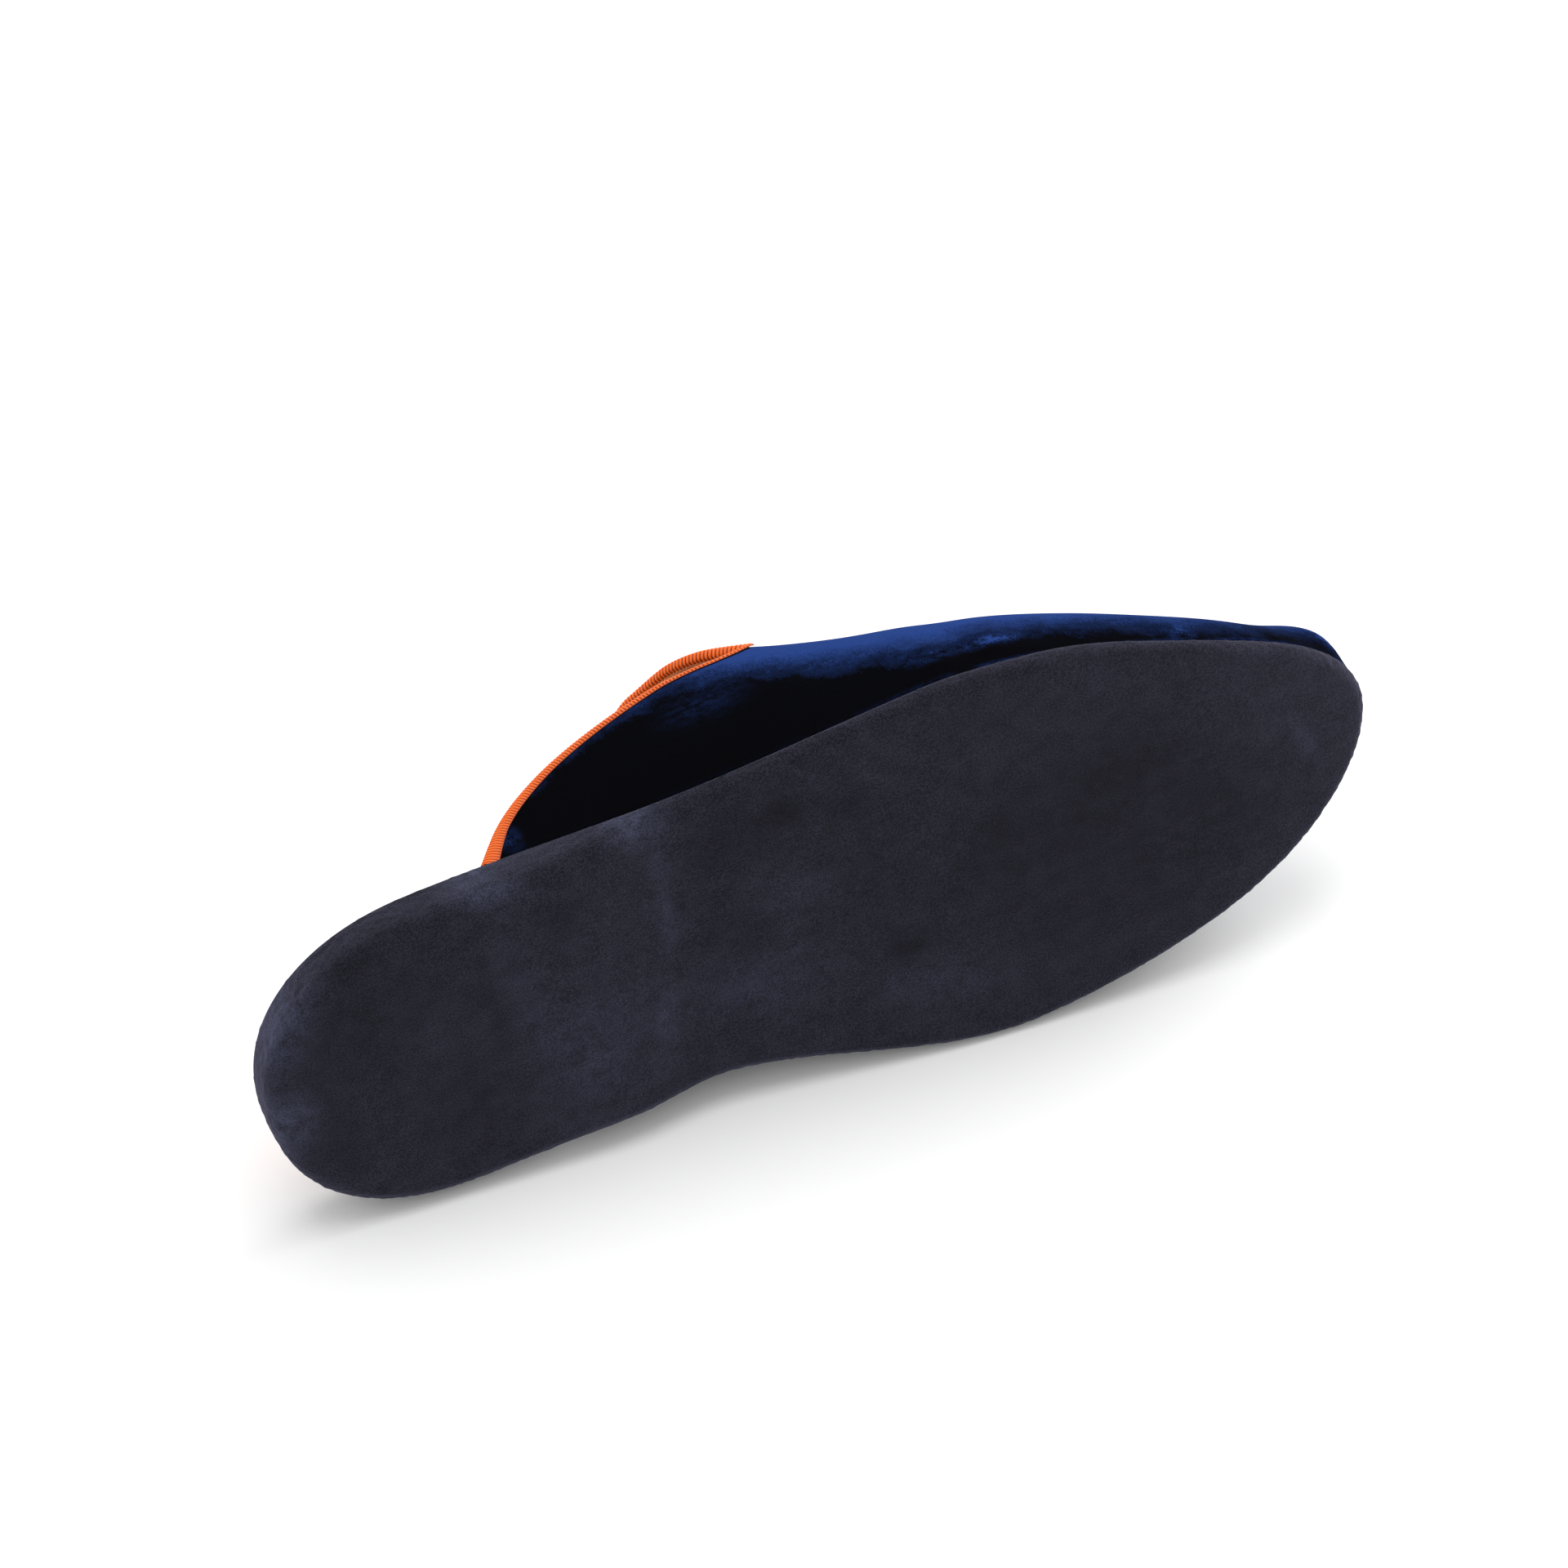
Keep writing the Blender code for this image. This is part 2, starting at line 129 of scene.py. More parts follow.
class Wire:
    """One output of a material's node tree; sums on it add Math nodes."""

    def __init__(self, socket):
        self.socket = socket

    def add(self, kind, settings, values, output=0):
        """A new node in the same tree: its settings first, then values or wires by socket."""
        tree = self.socket.id_data
        node = tree.nodes.new(kind)
        for name, value in settings.items():
            setattr(node, name, value)
        for key, value in values.items():
            if isinstance(value, Wire):
                tree.links.new(value.socket, node.inputs[key])
            else:
                node.inputs[key].default_value = value
        return Wire(node.outputs[output])

    def maths(self, operation, *values):
        return self.add("ShaderNodeMath", {"operation": operation}, dict(enumerate(values)))

    def __add__(self, other):
        return self.maths("ADD", self, other)

    __radd__ = __add__

    def __sub__(self, other):
        return self.maths("SUBTRACT", self, other)

    def __rsub__(self, other):
        return self.maths("SUBTRACT", other, self)

    def __mul__(self, other):
        return self.maths("MULTIPLY", self, other)

    def noise(self, scale, detail=2.0, stretch=(1, 1, 1)):
        """Cloudy value round 0.5; self is the place, stretch lengthens the clouds."""
        place = self.add("ShaderNodeMapping", {}, {"Vector": self, "Scale": tuple(1 / s for s in stretch)})
        return self.add("ShaderNodeTexNoise", {}, {"Vector": place, "Scale": scale, "Detail": detail})

    def step(self, low, high):
        """0 below low, 1 above high, with a soft change between them."""
        return self.add("ShaderNodeMapRange", {"interpolation_type": "SMOOTHSTEP"},
                        {"Value": self, "From Min": low, "From Max": high})

    def ramp(self, low, high):
        """0 below low, 1 above high, with an even change between them."""
        return self.add("ShaderNodeMapRange", {}, {"Value": self, "From Min": low, "From Max": high})

    def spot(self, centre, size, turn=0.0):
        """1 in the middle of a soft oval, 0 outside it; self is the place."""
        oval = self.add("ShaderNodeMapping", {"vector_type": "TEXTURE"}, {
            "Vector": self, "Location": centre, "Scale": size, "Rotation": (0, 0, math.radians(turn))})
        far = self.add("ShaderNodeVectorMath", {"operation": "LENGTH"}, {0: oval}, output="Value")
        return 1 - far.step(0.0, 1.0)

    def attribute(self, name):
        """A number that the piece keeps for each vertex."""
        return self.add("ShaderNodeAttribute", {"attribute_name": name}, {}, output="Fac")

    def mix(self, first, second):
        """Colour between two others; self is the share of the second."""
        return self.add("ShaderNodeMix", {"data_type": "RGBA"}, {0: self, 6: first, 7: second}, output=2)

    def bump(self, strength, distance):
        """Surface direction over a height; self is the height."""
        return self.add("ShaderNodeBump", {}, {"Height": self, "Strength": strength, "Distance": distance})


def new_material(name, constants):
    """A Principled material with its plain values; returns it with its shader and its place wire,
    which is in the shoe's own axes and in millimetres."""
    material = bpy.data.materials.new(name)
    material.use_nodes = True
    shader = material.node_tree.nodes["Principled BSDF"]
    for socket, value in constants.items():
        shader.inputs[socket].default_value = value
    place = Wire(material.node_tree.nodes.new("ShaderNodeTexCoord").outputs["Object"])
    shoe = place.add("ShaderNodeMapping", {}, {
        "Vector": place, "Scale": (1 / MM,) * 3, "Rotation": shoe_turn.to_euler(),
        "Location": shoe_turn @ -heel_back / MM})
    return material, shader, shoe


def feed(shader, socket, wire):
    """Links a wire into one of a shader's inputs."""
    shader.id_data.links.new(wire.socket, shader.inputs[socket])


outsole = copy_of("outsole", "outsole_suede", 3)
points = shoe_points(outsole)
normals = shoe_normals(outsole)
# 0 on the tread and 1 on the side wall; the medial side wall of the forefoot, which faces the floor, gets
# painted brownish shade
SHADE_X, SHADE_RUN, SHADE_Y = 150, 50, 20
rim = np.clip(1 + normals[:, 2], 0, 1)
shade_along = np.clip((points[:, 0] - SHADE_X) / SHADE_RUN, 0, 1)
put_attribute(outsole, "medial_toe_shade", rim * np.clip(points[:, 1] / SHADE_Y, 0, 1) * shade_along)

# Drawn suede is never quite even: low lumps over the filler, and a ragged nap round the rim
LUMP_SPAN, LUMP_HEIGHT = 16, 0.14
RAG_SPAN, RAG_HEIGHT = 1.3, 0.22
RIM_GAIN, TOP_FACE = 2.5, 0.3
edge_share = np.clip(rim * RIM_GAIN, 0, 1)
drawn = waves(points, LUMP_SPAN) * LUMP_HEIGHT * (1 - edge_share)
drawn += waves(points, RAG_SPAN) * RAG_HEIGHT * (edge_share * (normals[:, 2] < TOP_FACE))
points += normals * drawn[:, None]
# The lateral edge is pulled out over the little toe and in ahead of it: X, half length, shift
LATERAL_PULL = [(204, 17, -1.3), (248, 12, 0.8)]
LATERAL_REACH = 30
lateral_share = np.clip(-points[:, 1] / LATERAL_REACH, 0, 1) ** 2
for x, length, shift in LATERAL_PULL:
    points[:, 1] += shift * lateral_share * np.exp(-((points[:, 0] - x) / length) ** 2)
put_shoe_points(outsole, points)

SUEDE_LOW = (0.0060, 0.0057, 0.0086, 1)
SUEDE_HIGH = (0.0265, 0.0260, 0.0405, 1)
SUEDE_LIGHT = (0.050, 0.053, 0.090, 1)
SUEDE_DARK = (0.0042, 0.0038, 0.0055, 1)
SUEDE_BROWN_SHADE = (0.0110, 0.0072, 0.0064, 1)
FAR = 1000
# Where the suede is lighter or darker on the tread: X, Y, half length, half width, turn, strength.
# The lighter places at the heel's back and along the lateral rim are partly painted highlight, where
# the rounded edge catches grazing light; the rest is the nap's own tone
LIGHTER_NAP_AND_RIM_HIGHLIGHT = [
    (9, -25, 20, 12, 125, 0.9), (4, 1, 16, 11, 90, 0.75), (60, -39, 16, 8, 25, 0.72),
    (97, -37, 14, 9, 35, 0.72), (73, 14, 26, 34, 10, 0.31), (62, -14, 9, 26, 0, 0.18),
    (125, -4, 18, 12, 0, 0.23), (239, -9, 34, 18, 20, 0.12), (207, -26, 24, 14, 20, 0.12),
    (115, 15, 26, 18, 15, 0.28), (157, 34, 32, 14, 15, 0.2), (251, 10, 4, 15, -20, 0.28),
    (136, -35, 6, 1.6, 45, 0.33), (100, -24, 4, 14, 3, 0.3), (98, -8, 4, 15, 10, 0.3),
    (92, 14, 4.5, 20, 14, 0.3),
]
DARK_NAP = [
    (27, -19, 36, 24, -30, 0.34), (11, 9, 14, 12, 0, 0.35), (47, 14, 20, 24, 0, 0.25),
    (55, -8, 3.5, 22, 0, 0.25), (75, -24, 10, 8, 0, 0.45), (131.5, -26, 9, 7.5, 0, 0.5),
    (144, -22, 9, 8, 0, 0.45), (150, 21, 9.5, 8.5, 0, 0.7), (195, 20, 56, 38, 10, 0.3),
    (207, -2, 26, 15, 0, 0.35), (175, 2, 24, 26, 0, 0.25), (119, -24, 20, 12, 0, 0.45),
    (113, 0, 14, 15, 0, 0.35), (146, 2, 22, 28, 0, 0.2), (232, 18, 24, 20, 0, 0.25),
    (215, 5, 60, 50, 0, 0.2),
]
# Scales of the nap's noises, per millimetre, and how each one counts
FLECK_SCALE, FLUFF_SCALE = 2.4, 6.0
MOTTLE_SCALE, MOTTLE_SHARE, MOTTLE_LIFT = 0.2, 0.16, 0.02
NAP_LOW, NAP_HIGH, NAP_DEPTH = 0.53, 0.69, 0.35 * MM
LIGHT_SCALE, DARK_SCALE, STRAY_SHARE = 0.035, 0.05, 0.12
BREAK_FINE, BREAK_LONG, BREAK_GAIN, BREAK_LIFT = 0.35, 0.16, 1.3, 0.35
BROWN_SHADE_SHARE = 0.6
suede, shader, shoe = new_material("navy_suede", {
    "Roughness": 0.95, "Specular IOR Level": 0.1, "Sheen Weight": 0.28, "Sheen Roughness": 0.4,
    "Sheen Tint": (0.46, 0.46, 0.72, 1)})
fleck = shoe.noise(FLECK_SCALE, 3)
fluff = shoe.noise(FLUFF_SCALE, 2)
nap = fleck * 0.5 + fluff * 0.5
mottle = shoe.noise(MOTTLE_SCALE, 5, (1.2, 1, 1)) * MOTTLE_SHARE + MOTTLE_LIFT
colour = (nap + mottle).ramp(NAP_LOW, NAP_HIGH).mix(SUEDE_LOW, SUEDE_HIGH)
lighter = shoe.noise(LIGHT_SCALE, 4).step(0.5, 0.8) * STRAY_SHARE
for x, y, long, wide, turn, strength in LIGHTER_NAP_AND_RIM_HIGHLIGHT:
    lighter = lighter + shoe.spot((x, y, 0), (long, wide, FAR), turn) * strength
darker = shoe.noise(DARK_SCALE, 4).step(0.5, 0.8) * STRAY_SHARE
for x, y, long, wide, turn, strength in DARK_NAP:
    darker = darker + shoe.spot((x, y, 0), (long, wide, FAR), turn) * strength
# The places are broken up, so that none of them reads as an oval
broken = shoe.noise(BREAK_FINE, 4) * 0.5 + shoe.noise(BREAK_LONG, 4, (2.5, 1, 1)) * 0.5
broken = broken.step(0.34, 0.66) * BREAK_GAIN + BREAK_LIFT
# Lighter nap, partly painted highlight along the heel's back and lateral rim
colour = (lighter * broken * (fleck.step(0.25, 0.7) * 0.7 + 0.3)).mix(colour, SUEDE_LIGHT)
colour = (darker * (broken * 0.4 + 0.5)).mix(colour, SUEDE_DARK)
# Painted brownish shade on the medial side wall of the forefoot
colour = (shoe.attribute("medial_toe_shade").step(0.1, 0.7) * BROWN_SHADE_SHARE).mix(colour, SUEDE_BROWN_SHADE)
feed(shader, "Base Color", colour)
feed(shader, "Roughness", fleck * 0.1 + 0.9)
feed(shader, "Normal", nap.bump(0.9, NAP_DEPTH))
outsole.data.materials.append(suede)
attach(outsole, "root")
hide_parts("outsole")

# Insole.
# A thin tan leather sock, cut a little smaller than the bottom and glued on top of it.

insole = copy_of("insole", "insole_leather", 2)
SOCK_TAN = (0.46, 0.15, 0.045, 1)
SOCK_WORN = (0.30, 0.085, 0.022, 1)
# Darker under the heel and the ball of the foot: middle, half sizes, strength
HEEL_WEAR = ((30, 0, 0), (46, 34, FAR), 0.45)
BALL_WEAR = ((180, 6, 0), (60, 44, FAR), 0.5)
GRAIN_SCALE, GRAIN_DEPTH = 0.9, 0.15 * MM
sock, shader, shoe = new_material("tan_sock_leather", {"Roughness": 0.5, "Specular IOR Level": 0.4})
worn = sum(shoe.spot(place, size) * strength for place, size, strength in (HEEL_WEAR, BALL_WEAR))
colour = (worn + shoe.noise(0.06, 3) * 0.4).mix(SOCK_TAN, SOCK_WORN)
feed(shader, "Base Color", colour)
grain = shoe.add("ShaderNodeTexVoronoi", {"feature": "DISTANCE_TO_EDGE"}, {
    "Vector": shoe, "Scale": GRAIN_SCALE})
feed(shader, "Roughness", grain.step(0.0, 0.25) * -0.12 + 0.6)
feed(shader, "Normal", grain.step(0.0, 0.3).bump(0.35, GRAIN_DEPTH))
insole.data.materials.append(sock)
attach(insole, "root")
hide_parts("insole")

# Upper.
# One vamp of deep navy silk velvet on a firm backing, lasted and glued to the bottom. The royal blue
# towards the ridge is partly the pile brushed up and partly painted sheen and light from above; along
# the flanks the pile is nearly black.

# A line through the middle of the vamp's inside, up to the toes; outward is away from it
CORE_X, CORE_Y, CORE_Z = 235, 2, 22


def vamp_wall(name):
    """The vamp's wall as a new piece, with each vertex's place, outward line and share of outside."""
    wall = copy_of("upper", name, 2)
    points = shoe_points(wall)
    core = np.full(points.shape, (CORE_X, CORE_Y, CORE_Z), float)
    core[:, 0] = points[:, 0].clip(max=CORE_X)
    outward = points - core
    outward /= np.linalg.norm(outward, axis=1, keepdims=True)
    return wall, points, outward, (shoe_normals(wall) * outward).sum(axis=1)


# Creases and ridges: side, two ends by X and height on its wall, width, depth (in is negative)
LATERAL, MEDIAL = -1, 1
CREASES = [
    (LATERAL, 225, 4, 222, 16, 2.2, -0.8), (LATERAL, 229, 4, 230, 15, 3.0, 0.35),
    (LATERAL, 240, 5, 238, 13, 2.0, -0.35), (LATERAL, 251, 7, 248, 14, 2.0, -0.35),
    (LATERAL, 206, 4, 203, 12, 2.4, -0.3), (MEDIAL, 236, 5, 234, 14, 2.2, -0.4),
    (MEDIAL, 222, 4, 219, 13, 2.2, -0.35), (MEDIAL, 207, 4, 204, 12, 2.4, -0.35),
    (LATERAL, 176, 11, 173, 20, 6.0, 0.7), (LATERAL, 189, 11, 188, 20, 5.0, 0.8),
    (LATERAL, 182, 10, 181, 26, 4.0, -0.6), (LATERAL, 160, 14, 150, 40, 9.0, -0.6),
    (LATERAL, 118, 20, 140, 36, 12.0, 0.6), (LATERAL, 178, 30, 186, 46, 7.0, -0.45),
    (LATERAL, 185, 46, 212, 40, 14.0, 0.7),
]
# Swellings round a point: the stiffener fills the toe's lateral corner and the wall sinks a little
# behind it; the notch and the tongue's lateral edge lift off the last, and the tongue's tip is drawn
# down and back: place, radius, shift
PUFFS = [
    ((266.5, 1, 19), 7.0, (0.4, -2.0, 0.2)), ((253, -9.5, 22), 9.0, (0, 0.9, 0)),
    ((142.5, -24.5, 65.5), 6.0, (1.4, 0.0, 0.3)), ((137.5, -22, 72), 7.0, (0.2, -0.7, 1.4)),
    ((130, -19, 79), 8.0, (0.0, -0.5, 1.1)), ((121.5, -13.5, 85.8), 13.0, (-1.4, 0.75, -0.8)),
    ((117, -8.5, 87.8), 5.5, (-0.7, -0.5, 0.4)), ((153, -21, 71), 9.0, (0.0, -0.5, 0.8)),
]


def swell(points):
    """Places on the vamp after its swellings."""
    moved = points.copy()
    for place, radius, shift in PUFFS:
        near = np.exp(-(np.linalg.norm(points - place, axis=1) / radius) ** 2)
        moved += near[:, None] * shift
    return moved


def press_creases(wall, points, outward, outside):
    """Presses the creases into both faces of the vamp's wall alike."""
    shift = np.zeros(len(points))
    for side, x_low, z_low, x_high, z_high, width, depth in CREASES:
        hidden = np.where((outside > 0) & (outward[:, 1] * side > 0), 0, FAR)
        low = points[np.argmin(np.hypot(points[:, 0] - x_low, points[:, 2] - z_low) + hidden)]
        run = points[np.argmin(np.hypot(points[:, 0] - x_high, points[:, 2] - z_high) + hidden)] - low
        share = np.clip((points - low) @ run / (run @ run), 0, 1)
        away = np.linalg.norm(points - low - share[:, None] * run, axis=1)
        shift += depth * np.exp(-(away / width) ** 2)
    put_shoe_points(wall, swell(points) + outward * shift[:, None])


upper, points, outward, outside = vamp_wall("upper_velvet")
# Height over the sole's edge, from the lowest point of the wall nearby
RAND_STEP = 4
rand_x = np.arange(points[:, 0].min(), points[:, 0].max() + RAND_STEP, RAND_STEP)
rand_z = [points[np.abs(points[:, 0] - x) < RAND_STEP, 2].min(initial=FAR) for x in rand_x]
rand = points[:, 2] - np.interp(points[:, 0], rand_x, rand_z)
put_attribute(upper, "rand", rand)
# The wall's foot is glued down on the sole
FOOT_SINK, FOOT_HEIGHT, FACES_DOWN = 0.35, 2.5, -0.5
points[:, 2] -= FOOT_SINK * ((shoe_normals(upper)[:, 2] < FACES_DOWN) & (rand < FOOT_HEIGHT))
press_creases(upper, points, outward, outside)

# Lower border of the brushed pile and painted sheen: X and height over the tread
BRUSH_SHEEN_LINE = [(60, 27), (97, 46), (108, 51), (121, 53.5), (135, 48), (148, 38), (162, 27), (178, 20),
              (194, 20), (215, 16), (226, 14), (231, 10), (240, 13), (250, 15.5), (262, 18), (270, 18)]
put_attribute(upper, "brushed_sheen", points[:, 2] - np.interp(points[:, 0], *zip(*BRUSH_SHEEN_LINE)))

PILE_DARK = (0.0021, 0.0021, 0.0028, 1)
PILE_NAVY = (0.0066, 0.0155, 0.0600, 1)
PILE_BLUE_SHEEN = (0.0165, 0.0430, 0.1800, 1)
# Smudges where a hand has turned the pile: place, half sizes, strength
SMUDGES = [
    ((175, 0, 15.5), (9, FAR, 4.5), 0.5), ((189, 0, 15.5), (10, FAR, 4), 0.85),
    ((127, 0, 39), (16, FAR, 13), 0.24), ((230, 0, 8), (5, FAR, 6), 0.6),
    ((72, 0, 18), (4, FAR, 9), 0.55), ((267, 0, 19), (6, 9, 10), 0.8),
]
# Scales of the pile's noises, per millimetre, and how far each one shifts the brushed border, in
# millimetres
STREAK_SCALE, PILE_SCALE, TUFT_SCALE, CLOUD_SCALE, DRIFT_SCALE = 1.5, 2.2, 0.42, 0.09, 0.05
STREAK_SHIFT, PILE_SHIFT, TUFT_SHIFT, CLOUD_SHIFT = 5, 8, 7, 14
BORDER_LOW, BORDER_HIGH = -6, 12
CROWN_LOW, CROWN_HIGH = 18, 40
FRINGE_LOW, FRINGE_HIGH, FRINGE_SHIFT = 0.4, 2.4, 3
RIDGE_Y, BEYOND_Y = -4, 16
PILE_DEPTH = 0.6 * MM
velvet, shader, shoe = new_material("navy_velvet", {
    "Roughness": 0.9, "Specular IOR Level": 0.0, "Sheen Weight": 0.06, "Sheen Roughness": 0.25,
    "Sheen Tint": (0.3, 0.4, 0.9, 1)})
over = shoe.attribute("brushed_sheen")
streak = shoe.noise(STREAK_SCALE, 3, (1, 4, 4))
pile = shoe.noise(PILE_SCALE, 3)
cloud = shoe.noise(CLOUD_SCALE, 4)
tuft = shoe.noise(TUFT_SCALE, 4)
height = over + (streak - 0.5) * STREAK_SHIFT + (pile - 0.5) * PILE_SHIFT
height = height + (tuft - 0.5) * TUFT_SHIFT + (cloud - 0.5) * CLOUD_SHIFT
brushed_sheen = height.ramp(BORDER_LOW, BORDER_HIGH)
crown = over.step(CROWN_LOW, CROWN_HIGH) * (0.35 + cloud.ramp(0.25, 0.75) * 0.4)
smudges = sum(shoe.spot(place, size) * strength for place, size, strength in SMUDGES)
# Along the sole's edge the pile stands up and catches the light, most of all in the toe half
forward = shoe.add("ShaderNodeSeparateXYZ", {}, {0: shoe})
low_down = 1 - (shoe.attribute("rand") + (pile - 0.5) * FRINGE_SHIFT).step(FRINGE_LOW, FRINGE_HIGH)
fringe = low_down * (forward.step(150, 185) * 0.5 + 0.05) * cloud.step(0.35, 0.6)
tufted = (tuft * 0.6 + pile * 0.4).step(0.36, 0.62)
share = brushed_sheen * (1 - crown) + (smudges + fringe) * tufted
share = share * (0.55 + pile * 0.9) * (1 - forward.step(190, 235) * 0.12)
# Beyond the ridge, on the medial side, less of the painted sheen and brushed blue is laid on: deeper in
# tone, in long soft drifts
beyond = shoe.add("ShaderNodeSeparateXYZ", {}, {0: shoe}, output=1).step(RIDGE_Y, BEYOND_Y)
drift = shoe.noise(DRIFT_SCALE, 2, (2.2, 1, 1)).ramp(0.25, 0.75)
share = share * (1 - beyond * (0.3 + drift * 0.36))
# Painted sheen and brushed pile: the share runs the pile from nearly black through navy to royal blue
colour = share.ramp(0, 0.5).mix(PILE_DARK, PILE_NAVY)
colour = share.ramp(0.4, 1.0).mix(colour, PILE_BLUE_SHEEN)
feed(shader, "Base Color", colour)
feed(shader, "Roughness", streak * 0.1 + 0.85)
feed(shader, "Normal", (streak * 0.6 + pile * 0.4).bump(0.5, PILE_DEPTH))
upper.data.materials.append(velvet)
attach(upper, "root")
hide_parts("upper")

# Lining.
# Thin orange-brown glove leather, cut to the vamp's inside and glued to the velvet's backing.

LINING_GAP, LINING_THICK = 0.06 * MM, 0.20 * MM
INSIDE = -0.25
lining, points, outward, outside = vamp_wall("vamp_lining")
press_creases(lining, points, outward, outside)
bpy.ops.object.mode_set(mode="EDIT")
bpy.ops.mesh.select_mode(type="FACE")
bpy.ops.mesh.select_all(action="DESELECT")
bpy.ops.object.mode_set(mode="OBJECT")
for face in lining.data.polygons:
    face.select = any(outside[k] > INSIDE for k in face.vertices)
bpy.ops.object.mode_set(mode="EDIT")
bpy.ops.mesh.delete(type="FACE")
bpy.ops.mesh.select_all(action="SELECT")
bpy.ops.transform.shrink_fatten(value=LINING_GAP)
bpy.ops.object.mode_set(mode="OBJECT")
hide = lining.modifiers.new("hide", "SOLIDIFY")
hide.thickness = LINING_THICK
hide.offset = 1
bpy.ops.object.modifier_apply(modifier=hide.name)
bpy.ops.object.shade_smooth()
LINING_DEEP = (0.26, 0.060, 0.014, 1)
LINING_LIGHT = (0.38, 0.10, 0.024, 1)
SKIN_SCALE, SKIN_DEPTH = 1.6, 0.12 * MM
leather, shader, shoe = new_material("lining_leather", {"Roughness": 0.6, "Specular IOR Level": 0.3})
feed(shader, "Base Color", shoe.noise(0.08, 3).mix(LINING_DEEP, LINING_LIGHT))
feed(shader, "Normal", shoe.noise(SKIN_SCALE, 3).bump(0.3, SKIN_DEPTH))
lining.data.materials.append(leather)
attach(lining, "root")

# Collar binding.
# A strip of orange grosgrain ribbon, folded over the raw collar edge and sewn down on both sides.
# Its ribs are thick weft cords, about a millimetre apart, that run across the fold.

RIB_PITCH, RIB_DEPTH, RIB_STEPS = 1.0, 0.36, 6
# The fold's profile from the fold down each leg: depth, breadth from the wall's middle; the legs'
# own points are given by their share of the way from the raw edge to the leg's end
RAW_EDGE = 1.25
FOLD_TOP = 0.3
FOLD_OUT = [(0.33, 0.40), (0.42, 0.80), (0.60, 1.12), (0.88, 1.38)]
LEG_OUT = [(0.1, 1.56), (0.42, 1.72), (0.74, 1.58), (0.92, 1.40)]
END_OUT = [(1.0, 1.28), (1.02, 1.20)]
HUG_OUT = [(0.9, 1.14), (0.05, 1.14)]
FOLD_IN = [(0.33, 0.32), (0.42, 0.60), (0.60, 0.84), (0.88, 1.00)]
LEG_IN = [(0.1, 1.08), (0.45, 1.14), (0.75, 1.14), (0.92, 1.12)]
END_IN = [(1.0, 1.08), (1.9, 1.08), (2.6, 1.08), (2.65, 0.98)]
HUG_IN = [(2.5, 0.95), (0.05, 0.78)]
# Length of each leg along the collar: from the lateral foot to the tongue's tip, then mirrored
LEG_MARKS = (0, 14, 40, 72, 96, 122, 155)
OUTER_LEG = (4.7, 3.7, 3.3, 3.1, 2.6, 2.6, 2.7)
INNER_LEG = (3.0, 2.6, 2.4, 2.2, 2.0, 1.95, 2.0)

# The CAD ribbon's sections, walked from its lateral foot over the tongue to the other side
FOOT_BAND = 0.9
tape = bmesh.new()
tape.from_mesh(frame["nodes"]["collar_binding"].data)
bmesh.ops.remove_doubles(tape, verts=tape.verts, dist=WELD)
place_of = {vertex: np.array(shoe_turn @ (vertex.co - heel_back)) / MM for vertex in tape.verts}
lateral_side = {vertex: place for vertex, place in place_of.items() if place[1] < 0}
lowest = min(place[2] for place in lateral_side.values())
section = [vertex for vertex, place in lateral_side.items() if place[2] < lowest + FOOT_BAND]
seen = set(section)
sections = []
while section:
    sections.append(np.array([place_of[vertex] for vertex in section]))
    ahead = {edge.other_vert(vertex) for vertex in section for edge in vertex.link_edges}
    section = sorted((vertex for vertex in ahead if vertex not in seen), key=lambda vertex: vertex.index)
    seen.update(section)
tape.free()

# Each section's fold point, direction into the wall, direction out of the shoe
middles = np.array([corners.mean(axis=0) for corners in sections])
rows = []
for corners, middle, run in zip(sections, middles, np.gradient(middles, axis=0)):
    run = run / np.linalg.norm(run)
    spread = corners - middle
    spread = spread - np.outer(spread @ run, run)
    breadth = np.linalg.svd(spread)[2][0]
    if breadth @ (middle - (middle[0], CORE_Y, CORE_Z)) < 0:
        breadth = -breadth
    depth = np.cross(breadth, run)
    if depth[0] < 0:
        depth = -depth
    broad = spread @ breadth
    fold = middle + depth * (spread @ depth).min() + breadth * (broad.max() + broad.min()) / 2
    rows.append(np.concatenate([fold, depth, breadth]))
rows = np.array(rows)
rows[:, :3] = swell(rows[:, :3])
# Both ends run on into the joint between vamp and sole
FOOT_RUN = 0.5
for end, before in ((0, 1), (-1, -2)):
    run = rows[end, :3] - rows[before, :3]
    rows[end, :3] += run / np.linalg.norm(run) * FOOT_RUN


def smooth_rows(rows, along, at):
    """Rows read between the given ones, on a curve that runs smoothly through them."""
    slope = np.gradient(rows, along, axis=0)
    k = np.clip(np.searchsorted(along, at) - 1, 0, len(along) - 2)
    span = along[k + 1] - along[k]
    u = ((at - along[k]) / span)[:, None]
    span = span[:, None]
    start = (1 + 2 * u) * (1 - u) ** 2 * rows[k] + u * (1 - u) ** 2 * span * slope[k]
    return start + u ** 2 * (3 - 2 * u) * rows[k + 1] - u ** 2 * (1 - u) * span * slope[k + 1]


along = np.concatenate([[0], np.cumsum(np.linalg.norm(np.diff(rows[:, :3], axis=0), axis=1))])
rib_count = round(along[-1] / RIB_PITCH)
at = np.linspace(0, along[-1], rib_count * RIB_STEPS + 1)
frames = smooth_rows(rows, along, at)
depth_axis = frames[:, 3:6] / np.linalg.norm(frames[:, 3:6], axis=1, keepdims=True)
breadth_axis = frames[:, 6:9] / np.linalg.norm(frames[:, 6:9], axis=1, keepdims=True)
from_foot = np.minimum(at, along[-1] - at) * 2 * LEG_MARKS[-1] / along[-1]

